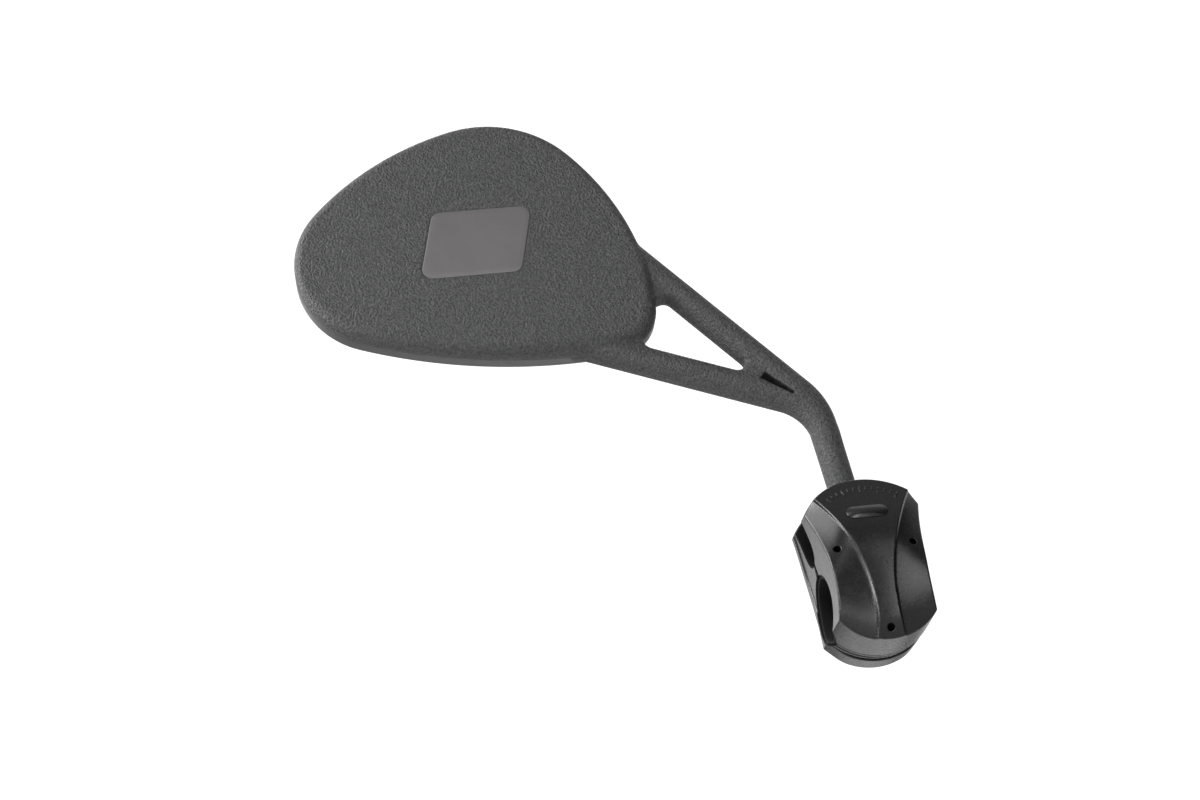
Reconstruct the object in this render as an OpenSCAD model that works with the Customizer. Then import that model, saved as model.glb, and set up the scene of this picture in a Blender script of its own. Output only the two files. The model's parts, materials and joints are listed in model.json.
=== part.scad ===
// Bicycle handlebar mirror: a teardrop mirror head moulded in one piece with a forked arm,
// held by a swivel ball between the two halves of a handlebar clamp.
// Frame: X along the handlebar, Y from the front of the clamp to its back, Z up.
// The origin is on the handlebar's centre line, in the middle of the clamp's width.

/* [Handlebar clamp] */
// Diameter of the handlebar that the clamp grips
bar_d = 22.2; // [21.8:0.1:22.6]
// Thickness of the rubber liner round the handlebar
liner_t = 1; // [0.8:0.1:1.2]
// Gap left between the two clamp shells at rest
split_gap = 0.5; // [0.3:0.1:0.8]

/* [Swivel] */
// Height of the ball's centre over the handlebar's centre line
pivot_z = 23; // [22.8:0.1:24]
// Distance of the ball's centre and of the arm behind the handlebar's centre line
pivot_y = 0.6; // [0:0.1:1]
// Radius of the ball
ball_r = 7.5; // [7.3:0.1:7.7]
// Width of the slot that the arm swings in
slot_w = 12; // [11.6:0.1:12.6]
// Lean of the arm's stem to the left of upright, in degrees
stem_lean = 5.8; // [3:0.1:8]

/* [Arm] */
// Radius of the stem
stem_r = 5.4; // [5.2:0.05:5.5]
// Radius of the upper strut
upper_r = 5.55; // [5:0.05:5.6]
// Radius of the lower strut
lower_r = 5.65; // [5.5:0.05:5.7]
// Distance from the ball's centre to the place where stem and struts meet
stem_len = 56; // [52:1:60]
// Angle of the upper strut over the leftward level, in degrees
upper_rise = 49.2; // [47:0.1:51]
// Angle of the lower strut over the leftward level, in degrees
lower_rise = 22; // [21:0.1:23]

/* [Mirror head] */
// Depth of the head from its back face to its front frame
head_depth = 12.4; // [11.5:0.1:14]
// Thickness of the head's moulded walls
wall = 1.8; // [1.6:0.1:2.2]
// Thickness of the mirror glass
glass_t = 2.2; // [1.8:0.1:2.6]
// Radius of curvature of the convex mirror glass
glass_curve_r = 900; // [800:50:1400]

/* [Hidden] */
$fn = 96;

// Clearances between parts that move, and between parts that are only seated
run_gap = 0.05;
seat_gap = 0.02;
// Overlap that lets a cut pass clean through a face
cut = 1;

// Clamp: plane between the shells, and the faces on each side of it
split_y = -pivot_y;
front_face_y = split_y - split_gap / 2;
rear_face_y = split_y + split_gap / 2;
// Clamp outline seen from the front: corner points, and the arcs between them
top_corner = [20.9, 31.5];
low_corner = [17, -9];
top_arc_r = 24.6;
low_arc_r = 20;
side_arc_r = 114;
liner_in_r = bar_d / 2 + run_gap;
liner_out_r = liner_in_r + liner_t;
// Screws: two beside the ball, one under the handlebar
screw_xz = [[-13.5, 15], [13.5, 15], [0, -14.7]];
screw_r = 1.45;
screw_hole_r = 1.6;
tip_hole_r = 1.3;
screw_tip_y = -9;
head_seat_y = 8.5;
washer_r = 3;
washer_t = 0.5;
head_r = 2.75;
head_h = 3;
head_bore_r = 3.1;
hex_key = 2.5;
insert_r = 2.2;
insert_len = 5.5;
insert_bore_r = 1.5;
// Cheeks: a point on each sloping face, and how the face turns and tilts
cheek_at = [8.9, -22.1, 19.8];
cheek_turn = 24.8;
cheek_tilt = 15.2;

// Swivel: seats round the ball, and the spigot that the ball turns on
pivot = [0, pivot_y, pivot_z];
seat_in_r = ball_r + run_gap;
seat_out_r = seat_in_r + 1.3;
slot_floor = pivot_z - stem_r - 1;
spigot_r = 3;
shoulder = ball_r - 2;
spigot_end = 4.1;
stem_washer_r = 4.2;
stem_washer_t = 0.7;
stem_head_r = 2.4;
stem_head_h = 1.8;
stem_thread_r = 1.2;
stem_screw_len = 9;
cushion_r = 3;
cushion_t = 1.5;

// Arm: the place where the stem and both struts meet
fork = [-stem_len * sin(stem_lean), pivot_z + stem_len * cos(stem_lean)];
upper_len = 92;
lower_len = 96;
gusset_half = 4.2;
elbow_r = stem_r + 0.4;
fillet_r = 16;
pocket_depth = 2.4;
pocket_tip = 9;
pocket_far = 22;
up_dir = [-cos(upper_rise), sin(upper_rise)];
low_dir = [-cos(lower_rise), sin(lower_rise)];
down_dir = [sin(stem_lean), -cos(stem_lean)];

// Mirror head outline: three corner circles, and the radius of the edge after each
head_corner = [[-75.5, 124.5], [-118, 164], [-159, 152.5]];
head_corner_r = [16, 44, 33];
head_edge_r = [110, 125, 225];
head_mid = [-126, 155];
head_back_y = -head_depth / 2;
head_front_y = head_depth / 2;
back_round = 3.2;
frame_t = 0.9;
frame_lip = 4.2;
rib_t = 1.6;
glass_top = head_front_y - 0.3;
pad_t = 1.2;
rib_x = [-168, -140, -112, -84];
rib_z = [128, 156, 184];
inlay_t = 0.5;
inlay_proud = 0.15;
inlay_low = [-146, 142];
inlay_size = [38, 28];
inlay_slant = 7;

// Points along an arc about c, from angle a to angle b
function arc(c, r, a, b, n) =
    [for (i = [0:n]) let (t = a + (b - a) * i / n) c + r * [cos(t), sin(t)]];

// Direction of a vector, and the heading b as an angle less than one full turn beyond a
function heading(v) = atan2(v[1], v[0]);
function turned(a, b) = a + (b - a + 720) % 360;

// Heading as an angle from 0 to 360
function facing(v) = turned(0, heading(v));

// Centre of a circle of radius r that passes through p and q, on the left of p to q
function centre_through(p, q, r) =
    let (d = q - p, h = sqrt(r * r - d * d / 4)) (p + q) / 2 + h * [-d[1], d[0]] / norm(d);

// Centre of the large circle of radius r that encloses and touches two corner circles
function edge_centre(p, pr, q, qr, r) =
    let (
        d = q - p,
        len = norm(d),
        a = r - pr,
        b = r - qr,
        along = (a * a - b * b + len * len) / (2 * len),
        side = sqrt(a * a - along * along)
    )
    p + (along * d + side * [-d[1], d[0]]) / len;

function head_edge_centre(i) =
    let (j = (i + 1) % 3)
    edge_centre(head_corner[i], head_corner_r[i], head_corner[j], head_corner_r[j], head_edge_r[i]);

// The head's outline, moved inwards by inset
function head_outline(inset) = [
    for (i = [0:2])
        let (
            c = head_corner[i],
            next = head_corner[(i + 1) % 3],
            before = head_edge_centre((i + 2) % 3),
            after = head_edge_centre(i),
            a = heading(c - before),
            b = turned(a, heading(c - after)),
            e = turned(b, heading(next - after))
        )
        each concat(
            arc(c, head_corner_r[i] - inset, a, b, 10),
            arc(after, head_edge_r[i] - inset, b, e, 10))
];

// The clamp's outline seen from the front: its right half, then the mirrored left half
function clamp_outline() =
    let (
        low = centre_through([-low_corner[0], low_corner[1]], low_corner, low_arc_r),
        side = centre_through(top_corner, low_corner, side_arc_r),
        top = centre_through(top_corner, [-top_corner[0], top_corner[1]], top_arc_r),
        right = concat(
            arc(low, low_arc_r, -90, heading(low_corner - low), 10),
            arc(side, side_arc_r, facing(low_corner - side), facing(top_corner - side), 10),
            arc(top, top_arc_r, heading(top_corner - top), 90, 10))
    )
    concat(right, [for (i = [len(right) - 1:-1:0]) [-right[i][0], right[i][1]]]);

// Side profiles of the clamp shells as [y, z], from the bottom up
front_profile = [[-16.4, -20], [-18.6, -18.3], [-21.4, -11], [-22.3, -5], [-22.4, 4], [-21.9, 14],
    [-20.9, 21], [-12.2, 44]];
rear_profile = [[12.6, -20], [13, -12], [14.4, -6], [16.1, 2], [17.8, 8], [18.4, 14], [17.8, 20],
    [16, 26], [13.4, 32], [8.8, 44]];

// A drawing in [x, z] made solid from y0 to y1
module from_front(y0, y1) {
    translate([0, y1, 0]) rotate([90, 0, 0]) linear_extrude(y1 - y0) children();
}

// The area between a side profile and the shell's parting face, made solid across the full width
module side_solid(profile, face) {
    ends = [[face, profile[len(profile) - 1][1]], [face, profile[0][1]]];
    translate([-25, 0, 0]) rotate([90, 0, 90]) linear_extrude(50) polygon(concat(profile, ends));
}

// A cylinder along Y from y0 to y1, with its axis at [x, z]
module pin_y(xz, r, y0, y1) {
    translate([xz[0], y1, xz[1]]) rotate([90, 0, 0]) cylinder(h = y1 - y0, r = r);
}

// A cylinder along X, centred on the handlebar's centre line
module bar(r) {
    translate([-25, 0, 0]) rotate([0, 90, 0]) cylinder(h = 50, r = r);
}

// Places children in the stem's own frame: origin at the ball's centre, +Z up the stem
module on_stem() {
    translate(pivot) rotate([0, -stem_lean, 0]) children();
}

module head_slab(inset, y0, y1) {
    from_front(y0, y1) polygon(head_outline(inset));
}

// A domed layer that follows the mirror's curve, with its highest point at y = top
module dome(top, thick) {
    reach = 75;
    steps = 10;
    function drop(r) = r * r / (2 * glass_curve_r);
    upper = [for (i = [0:steps]) [reach * i / steps, top - drop(reach * i / steps)]];
    lower = [for (i = [steps:-1:0]) [reach * i / steps, top - thick - drop(reach * i / steps)]];
    translate([head_mid[0], 0, head_mid[1]]) rotate([-90, 0, 0])
        rotate_extrude() polygon(concat(upper, lower));
}

// The space behind the glass pad that the head's ribs may fill
module under_pad() {
    dome(glass_top - glass_t - pad_t - 2 * run_gap, head_depth);
}

module strut(rise, length, r) {
    translate([fork[0], pivot_y, fork[1]]) rotate([0, rise - 90, 0]) cylinder(h = length, r = r);
}

// Web that joins the two struts and the stem at the fork, with a round inner corner
module gusset() {
    core = fork + [0.8, 0.6];
    from_front(pivot_y - gusset_half, pivot_y + gusset_half)
        polygon(concat([core, fork + 34 * up_dir - [1, 1], fork + 28 * low_dir + [0.6, 1.2],
            fork + 15 * low_dir], fork_fillet(), [fork + 15 * down_dir]));
}

// Arc that rounds the corner between the lower strut's underside and the stem's left side
function fork_fillet() =
    let (
        a = turned(0, heading(low_dir)),
        b = turned(0, heading(down_dir)),
        sunk = stem_r - 0.2,
        c = fork + (sunk + fillet_r) / sin((b - a) / 2) * (low_dir + down_dir) / norm(low_dir + down_dir)
    )
    arc(c, fillet_r, a - 90, b - 270, 8);

// Narrow blind pocket in the fork's front face
module fork_pocket() {
    from_front(pivot_y - elbow_r - cut, pivot_y - gusset_half + pocket_depth)
        polygon([fork + pocket_tip * up_dir, fork + pocket_far * up_dir - [3, 0],
            fork + pocket_far * low_dir + [1.5, 2.5]]);
}

// Ribs inside the head that carry the glass pad
module head_ribs() {
    intersection() {
        head_slab(wall, head_back_y + wall / 2, head_front_y - frame_t);
        under_pad();
        union() {
            for (x = rib_x)
                translate([x, head_back_y, 100]) cube([rib_t, head_depth, 110]);
            for (z = rib_z)
                translate([-195, head_back_y, z]) cube([140, head_depth, rib_t]);
        }
    }
}

// Slanted panel on the head's back, made larger all round by grow
module inlay_shape(y0, y1, grow) {
    low = inlay_low - [grow, grow];
    size = inlay_size + 2 * [grow, grow];
    from_front(y0, y1)
        polygon([low, low + [size[0], 0], low + size + [inlay_slant, 0], low + [inlay_slant, size[1]]]);
}

module arm_shell() {
    color([0.30, 0.30, 0.31]) {
        difference() {
            union() {
                hull() {
                    head_slab(0, head_back_y + back_round, head_front_y - frame_t / 2);
                    head_slab(back_round, head_back_y, head_back_y + back_round);
                }
                strut(upper_rise, upper_len, upper_r);
                strut(lower_rise, lower_len, lower_r);
                gusset();
                translate([fork[0], pivot_y, fork[1]]) sphere(r = elbow_r);
                on_stem() translate([0, 0, shoulder]) cylinder(h = stem_len - shoulder, r = stem_r);
                on_stem() translate([0, 0, -spigot_end])
                    cylinder(h = spigot_end + shoulder + cut, r = spigot_r);
            }
            head_slab(wall, head_back_y + wall, head_front_y + cut);
            head_slab(-cut, head_front_y - frame_t, head_front_y + cut);
            inlay_shape(head_back_y - cut, head_back_y + inlay_t - inlay_proud, seat_gap);
            fork_pocket();
            on_stem() translate([0, 0, -spigot_end - cut])
                cylinder(h = spigot_end + shoulder + 4, r = stem_thread_r + seat_gap);
        }
        head_ribs();
    }
}

module back_inlay() {
    color([0.42, 0.40, 0.41])
        inlay_shape(head_back_y - inlay_proud, head_back_y + inlay_t - inlay_proud - seat_gap, 0);
}

// Thin ring on the mirror side: a flange over the wall's end, and a skirt inside it
module front_frame() {
    skirt_in = wall + seat_gap + 0.9;
    color([0.26, 0.26, 0.27]) difference() {
        union() {
            head_slab(0.2, head_front_y - frame_t + seat_gap, head_front_y);
            head_slab(wall + seat_gap, head_front_y - 4.5, head_front_y);
        }
        head_slab(frame_lip, head_front_y - 6, head_front_y + cut);
        head_slab(skirt_in, head_front_y - 6, head_front_y - frame_t);
    }
}

module mirror_glass() {
    color([0.75, 0.79, 0.82]) intersection() {
        head_slab(wall + 1.1, head_back_y, head_front_y - frame_t - run_gap);
        dome(glass_top, glass_t);
    }
}

module glass_pad() {
    color([0.12, 0.12, 0.12]) intersection() {
        head_slab(wall + 4, head_back_y, head_front_y);
        dome(glass_top - glass_t - run_gap, pad_t);
    }
}

module swivel_ball() {
    color([0.20, 0.20, 0.21]) on_stem() difference() {
        sphere(r = ball_r);
        translate([0, 0, shoulder - run_gap]) cylinder(h = ball_r, r = ball_r);
        translate([0, 0, -ball_r - cut]) cylinder(h = 2 * ball_r + 2 * cut, r = spigot_r + run_gap);
        translate([0, 0, -ball_r - cut])
            cylinder(h = ball_r + cut - spigot_end + run_gap, r = stem_washer_r + 0.2);
    }
}

module stem_screw() {
    under_head = -spigot_end - stem_washer_t - run_gap;
    color([0.70, 0.70, 0.72]) on_stem() translate([0, 0, under_head]) difference() {
        union() {
            translate([0, 0, -stem_head_h]) cylinder(h = stem_head_h, r = stem_head_r);
            cylinder(h = stem_screw_len, r = stem_thread_r);
        }
        translate([0, 0, -stem_head_h - cut]) cylinder(h = cut + 1, r = 1, $fn = 6);
    }
}

module spring_washer() {
    color([0.62, 0.62, 0.64]) on_stem() translate([0, 0, -spigot_end - stem_washer_t]) difference() {
        cylinder(h = stem_washer_t - run_gap / 2, r = stem_washer_r);
        translate([0, 0, -cut]) cylinder(h = stem_washer_t + 2 * cut, r = stem_thread_r + run_gap);
    }
}

// The slot that the stem swings in, from side to side over the ball
module arm_slot() {
    translate([-30, pivot_y - slot_w / 2, slot_floor]) cube([60, slot_w, 40]);
}

// A cup round the ball, on one side of the slot and under it
module ball_cup() {
    difference() {
        translate(pivot) sphere(r = seat_out_r);
        translate(pivot) sphere(r = seat_in_r);
        arm_slot();
    }
}

module front_ball_seat() {
    color([0.33, 0.33, 0.34]) intersection() {
        ball_cup();
        translate([-15, front_face_y - 20, 0]) cube([30, 20, 50]);
    }
}

module rear_ball_seat() {
    color([0.33, 0.33, 0.34]) intersection() {
        ball_cup();
        translate([-15, rear_face_y, 0]) cube([30, 20, 50]);
    }
}

// Rubber disc that presses the front seat on the ball
module seat_cushion() {
    pole = pivot_y - seat_out_r;
    color([0.10, 0.10, 0.10]) pin_y([0, pivot_z], cushion_r, pole - run_gap - cushion_t, pole - run_gap);
}

// The clamp's solid outline from y0 to y1
module clamp_block(y0, y1, profile, face) {
    intersection() {
        from_front(y0, y1) polygon(clamp_outline());
        side_solid(profile, face);
    }
}

// Hollows that both clamp shells share
module clamp_hollows() {
    bar(liner_out_r + seat_gap);
    translate(pivot) sphere(r = seat_out_r + seat_gap);
    arm_slot();
}

// Slopes that fall from the middle ridge to the clamp's upper corners
module cheek_cut(side) {
    translate([side * cheek_at[0], cheek_at[1], cheek_at[2]]) rotate([0, 0, side * cheek_turn])
        rotate([-cheek_tilt, 0, 0]) translate([-40, -20, -60]) cube([80, 20, 100]);
}

module front_shell() {
    color([0.20, 0.20, 0.21]) difference() {
        clamp_block(-24, front_face_y, front_profile, front_face_y);
        clamp_hollows();
        cheek_cut(1);
        cheek_cut(-1);
        pin_y([0, pivot_z], cushion_r + run_gap, pivot_y - seat_out_r - cushion_t - 2 * run_gap, split_y);
        for (p = screw_xz) {
            pin_y(p, tip_hole_r, -30, split_y);
            pin_y(p, screw_hole_r, screw_tip_y - cut, split_y);
            pin_y(p, insert_r + seat_gap, front_face_y - insert_len - seat_gap, split_y);
        }
    }
}

module rear_shell() {
    color([0.20, 0.20, 0.21]) difference() {
        clamp_block(rear_face_y, 20, rear_profile, rear_face_y);
        clamp_hollows();
        for (p = screw_xz) {
            pin_y(p, screw_hole_r, split_y, 30);
            pin_y(p, head_bore_r, head_seat_y, 30);
        }
    }
}

module bar_liner() {
    intersection() {
        from_front(-20, 20) polygon(clamp_outline());
        difference() {
            bar(liner_out_r);
            bar(liner_in_r);
        }
    }
}

module front_bar_liner() {
    color([0.09, 0.09, 0.09]) intersection() {
        bar_liner();
        translate([-25, front_face_y - 20, -25]) cube([50, 20, 50]);
    }
}

module rear_bar_liner() {
    color([0.09, 0.09, 0.09]) intersection() {
        bar_liner();
        translate([-25, rear_face_y, -25]) cube([50, 20, 50]);
    }
}

// Brass inserts in the front shell that the clamp screws pull on
module threaded_inserts() {
    color([0.72, 0.60, 0.30]) for (p = screw_xz) difference() {
        pin_y(p, insert_r, front_face_y - insert_len, front_face_y);
        pin_y(p, insert_bore_r, front_face_y - insert_len - cut, front_face_y + cut);
    }
}

module clamp_screws() {
    head_y = head_seat_y + washer_t + 2 * seat_gap;
    color([0.68, 0.68, 0.70]) for (p = screw_xz) difference() {
        union() {
            pin_y(p, screw_r, screw_tip_y, head_y);
            pin_y(p, head_r, head_y, head_y + head_h);
        }
        translate([p[0], head_y + head_h + cut, p[1]]) rotate([90, 0, 0])
            cylinder(h = cut + 1.8, r = hex_key / sqrt(3), $fn = 6);
    }
}

module screw_washers() {
    color([0.62, 0.62, 0.64]) for (p = screw_xz) difference() {
        pin_y(p, washer_r, head_seat_y + seat_gap, head_seat_y + seat_gap + washer_t);
        pin_y(p, screw_hole_r, head_seat_y - cut, head_seat_y + washer_t + cut);
    }
}

arm_shell();
back_inlay();
front_frame();
mirror_glass();
glass_pad();
swivel_ball();
stem_screw();
spring_washer();
front_ball_seat();
rear_ball_seat();
seat_cushion();
front_shell();
rear_shell();
front_bar_liner();
rear_bar_liner();
threaded_inserts();
clamp_screws();
screw_washers();
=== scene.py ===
"""Looks of the bicycle handlebar mirror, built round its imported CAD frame.

Shapes are written in millimetres in the row frame: X along the handlebar, Y from the clamp's
front to its back, Z up. The moulded parts are the zero surfaces of distance fields, so that
their blends and rounded edges are real geometry. Meshes are made in metres.
"""

import json
import math

import bpy
import numpy as np
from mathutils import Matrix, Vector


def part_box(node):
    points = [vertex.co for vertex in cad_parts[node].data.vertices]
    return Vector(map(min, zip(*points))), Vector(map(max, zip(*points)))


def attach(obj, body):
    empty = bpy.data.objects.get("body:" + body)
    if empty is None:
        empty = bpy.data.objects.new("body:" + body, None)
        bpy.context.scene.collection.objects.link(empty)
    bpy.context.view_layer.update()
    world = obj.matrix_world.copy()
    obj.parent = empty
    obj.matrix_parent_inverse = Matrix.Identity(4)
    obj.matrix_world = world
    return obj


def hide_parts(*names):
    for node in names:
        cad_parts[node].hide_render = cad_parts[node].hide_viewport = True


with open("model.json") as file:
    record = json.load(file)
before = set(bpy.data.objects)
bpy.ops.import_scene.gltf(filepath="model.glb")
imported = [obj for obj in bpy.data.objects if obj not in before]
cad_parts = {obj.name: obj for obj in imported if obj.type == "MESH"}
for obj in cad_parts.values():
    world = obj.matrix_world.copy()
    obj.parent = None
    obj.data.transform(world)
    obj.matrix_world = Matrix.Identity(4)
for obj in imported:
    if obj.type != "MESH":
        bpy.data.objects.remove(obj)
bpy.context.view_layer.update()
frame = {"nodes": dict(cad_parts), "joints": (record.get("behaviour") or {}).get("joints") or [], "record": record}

import openvdb
from mathutils import Matrix, Vector

MM = 0.001
JOINTS = {j["name"]: j for j in frame["joints"]}
MOUNTS = {m["name"]: m for m in frame["record"]["mounts"]}

# ---------------------------------------------------------------- driving dimensions

PIVOT = np.array(JOINTS["arm_swing"]["pos_m"]) / MM
STEM_UP = np.array(JOINTS["arm_twist"]["axis"])
BAR_R = MOUNTS["handlebar"]["dims"]["r_mm"]
ARM_Y = PIVOT[1]

# Mirror head: corner circles and the radius of the edge that follows each one
HEAD_CORNERS = np.array([(-75.5, 124.5), (-118.0, 164.0), (-159.0, 152.0)])
HEAD_CORNER_R = (16.0, 44.0, 33.0)
HEAD_EDGE_R = (103.0, 112.0, 215.0)
HEAD_MID = np.array([-126.0, 155.0])
HEAD_BACK = -6.2
HEAD_FRONT = 6.2
# The edge of the head's back is rounder along the head's lower side
HEAD_ROUND = 3.2
HEAD_LOW_ROUND = 4.8
LOW_ROUND_START_Z = 145.0
LOW_ROUND_FADE = 25.0
HEAD_WALL = 1.8
BAND_START = 0.0
FRAME_T = 0.9
GLASS_TOP = 5.9
GLASS_T = 2.2
GLASS_CURVE_R = 900.0

# Arm: the fork, where the stem meets both struts
STEM_LEN = 56.0
STEM_R = 5.25
UPPER_R = 5.5
LOWER_R = 5.55
UPPER_RISE = math.radians(49.2)
LOWER_RISE = math.radians(22.0)
UPPER_LEN = 92.0
LOWER_LEN = 96.0
UPPER_BEND_R = 26.0
LOWER_BEND_R = 21.0
WEB_HALF = 4.5
WEB_ROUND = 1.5
# The upper strut narrows to the stem's radius below TAPER_TOP_Z, and the lower strut below the fork
TAPER_TOP_Z = 90.0
TAPER_LEN = 40.0
LOWER_TAPER_LEN = 20.0
# Blend between the two struts, which grows over FORK_FADE upwards past the fork
FORK_BLEND = (0.05, 2.5)
FORK_FADE_LOW = 6
FORK_FADE = 12
JOIN_BLEND = 1.2
SHOULDER = 5.5
SHOULDER_ROUND = 0.4
SPIGOT_R = 3.0
SPIGOT_END = 4.1
STEM_SCREW_R = 1.25

# Clamp: parting, hollows and outline
SPLIT_Y = -0.6
SPLIT_GAP = 0.5
LINER_T = 1.0
BALL_SEAT_R = 8.85
SLOT_HALF = 6.0
TOP_ARC = (18.5, 24.6)
LOW_ARC = (4.0, 22.3)
SIDE_ARC = (130.7, 1.8, 114.1)
EDGE_R = 0.3
# The parting gap widens below GAP_FLARE_Z, on its way down to the handlebar bore
GAP_HALF = 0.8
GAP_FLARE = 0.25
GAP_FLARE_Z = 16.0
GAP_LOW_Z = 6.0
GAP_DEPTH = 1.2

# Front shell: the face, then its folds, each given as a slope and how softly it turns
FRONT_DRAFT = 0.022
FRONT_END_Y = -22
FACE_Y = -22.2
FACE_STEEPNESS = 0.85
FRONT_FILLET = 0.55
TOP_KNEE = 21.5
LOW_KNEE = 11.0
RIDGE_NECK_HALF = 4.0
RIDGE_NECK_Z = -6
RIDGE_FLARE = 0.0074
RIDGE_DISH = 0.12
RIDGE_TOP_FOLD = (0.45, 3.0)
RIDGE_LOW_FOLD = (0.5, 1.8)
CREASE_DEPTH = 0.7
CREASE_OUT = 0.37
CREASE_W = 0.75
CHEEK_RISE = 0.2
CHEEK_BOW = 1.35
CHEEK_TOP_FOLD = (0.465, 2.6)
CHEEK_LOW_SLOPE = (0.5, 0.12)
CHEEK_LOW_SOFT = 3.6
CHEEK_TOP_RUN = 12.2
CHEEK_LOW_RUN = 3.5
# The parting edge is rounder above the clamp's lower part
PARTING_ROUND = 1.3
PARTING_ROUND_Z = 4
PARTING_ROUND_FADE = 8

# Rear shell: its face, how far its wall stands out past the front shell's, and its rim
REAR_Y = 19.0
REAR_STEEPNESS = 0.95
REAR_FILLET = 1.0
REAR_LEAN = 0.26
REAR_LEAN_KNEES = ((-11.0, 3.0), (12.0, 1.5))
REAR_TOP_LEAN = 0.42
REAR_TOP_KNEE = (19.5, 2.5)
REAR_CROWN = 0.7
REAR_CROWN_BOW = 2.5
REAR_SWELL = 0.45
REAR_SWELL_LOSS = 0.25
LOW_BAND_SWELL = 0.5
STEP_BACK = 4.4
STEP_W = 0.6
REAR_STEP = 0.4

# Depths of the moulded lines, which run round the lower wall below LINES_TOP_Z
LINES_TOP_Z = -7.5
LIP_Y = -1.3
LIP_DEPTH = 0.5
WEDGE_Y = 1.6
WEDGE_HALF = 0.5
LINE_Y = 3.9
LINE_HALF = 0.42

# Screws, their holes and the marks on the front
SCREWS = ((-13.5, 15.0), (13.5, 15.0), (0.0, -14.7))
TIP_HOLE_R = 1.3
CLEARANCE_R = 1.6
INSERT_R = 2.22
INSERT_DEPTH = 5.55
HEAD_BORE_R = 3.1
HEAD_SEAT_Y = 8.5
HOLE_EDGE = 0.25
HOLLOW_EDGE = 0.35
INNER_DEPTH = 0.3
MARK_ARC_R = 21.4
MARK_PITCH = 6.2


# ---------------------------------------------------------------- distance fields


def hinge(t, knee, width):
    """Ramp that is 0 below the knee and rises with slope 1 above it, rounded over width."""
    return width * np.logaddexp(0.0, (t - knee) / width)


def fold(t, knee, slope, width):
    """Ramp of a given slope that starts softly at the knee."""
    return slope * hinge(t, knee, width)


def smooth_min(a, b, k):
    h = np.clip(0.5 + 0.5 * (b - a) / k, 0.0, 1.0)
    return b * (1 - h) + a * h - k * h * (1 - h)


def smooth_max(a, b, k):
    return -smooth_min(-a, -b, k)


def smooth_step(t):
    t = np.clip(t, 0.0, 1.0)
    return t * t * (3 - 2 * t)


def rounded_max(a, b, r):
    """Where both fields are negative, with the edge between them rounded to radius r."""
    a, b = a + r, b + r
    return np.minimum(np.maximum(a, b), 0) + np.hypot(np.maximum(a, 0), np.maximum(b, 0)) - r


def segment_distance(x, z, a, b):
    d = b - a
    t = np.clip(((x - a[0]) * d[0] + (z - a[1]) * d[1]) / (d @ d), 0.0, 1.0)
    return np.hypot(x - a[0] - t * d[0], z - a[1] - t * d[1])


def bent_path_distance(x, z, start, corner, end, bend_r):
    """Distance from a path that runs from start to end and rounds its corner with bend_r."""
    u = (start - corner) / np.linalg.norm(start - corner)
    v = (end - corner) / np.linalg.norm(end - corner)
    half = math.acos(np.clip(u @ v, -1, 1)) / 2
    reach = bend_r / math.tan(half)
    centre = corner + (u + v) / np.linalg.norm(u + v) * bend_r / math.sin(half)
    out = np.minimum(
        segment_distance(x, z, start, corner + u * reach),
        segment_distance(x, z, corner + v * reach, end),
    )
    qx, qz = x - centre[0], z - centre[1]
    to_u = corner + u * reach - centre
    to_v = corner + v * reach - centre
    turn = np.sign(to_u[0] * to_v[1] - to_u[1] * to_v[0])
    past_u = turn * (to_u[0] * qz - to_u[1] * qx) >= 0
    within = past_u & (turn * (qx * to_v[1] - qz * to_v[0]) >= 0)
    return np.where(within, np.abs(np.hypot(qx, qz) - bend_r), out)


def rounded_polygon(x, z, corners, radii):
    """Signed distance from a convex polygon with rounded corners, which run anticlockwise."""
    corners = np.asarray(corners, float)
    ahead = np.roll(corners, -1, axis=0) - corners
    ahead /= np.linalg.norm(ahead, axis=1)[:, None]
    normals = np.stack([ahead[:, 1], -ahead[:, 0]], axis=1)
    out = -np.inf
    for c, n in zip(corners, normals):
        out = np.maximum(out, n[0] * (x - c[0]) + n[1] * (z - c[1]))
    for i, (c, r) in enumerate(zip(corners, radii)):
        a, b = normals[i - 1], normals[i]
        centre = c - (a + b) * r / (1 + a @ b)
        qx, qz = x - centre[0], z - centre[1]
        within = (a[0] * qz - a[1] * qx >= 0) & (qx * b[1] - qz * b[0] >= 0)
        out = np.where(within, np.hypot(qx, qz) - r, out)
    return out


def head_edge_centres():
    """Centres of the three large arcs that join the head's corner circles."""
    centres = []
    for i in range(3):
        p, q = HEAD_CORNERS[i], HEAD_CORNERS[(i + 1) % 3]
        a = HEAD_EDGE_R[i] - HEAD_CORNER_R[i]
        b = HEAD_EDGE_R[i] - HEAD_CORNER_R[(i + 1) % 3]
        d = q - p
        length = np.linalg.norm(d)
        along = (a * a - b * b + length * length) / (2 * length)
        side = math.sqrt(a * a - along * along)
        centres.append(p + (along * d + side * np.array([-d[1], d[0]])) / length)
    return np.array(centres)


HEAD_EDGE_CENTRES = head_edge_centres()


def head_distance(x, z):
    """Signed distance from the head's outline."""
    out = -np.inf
    for centre, r in zip(HEAD_EDGE_CENTRES, HEAD_EDGE_R):
        out = np.maximum(out, np.hypot(x - centre[0], z - centre[1]) - r)
    for i in range(3):
        c = HEAD_CORNERS[i]
        a = c - HEAD_EDGE_CENTRES[i - 1]
        b = c - HEAD_EDGE_CENTRES[i]
        qx, qz = x - c[0], z - c[1]
        within = (a[0] * qz - a[1] * qx >= 0) & (qx * b[1] - qz * b[0] >= 0)
        out = np.where(within, np.hypot(qx, qz) - HEAD_CORNER_R[i], out)
    return out


# ---------------------------------------------------------------- mesh making


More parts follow.
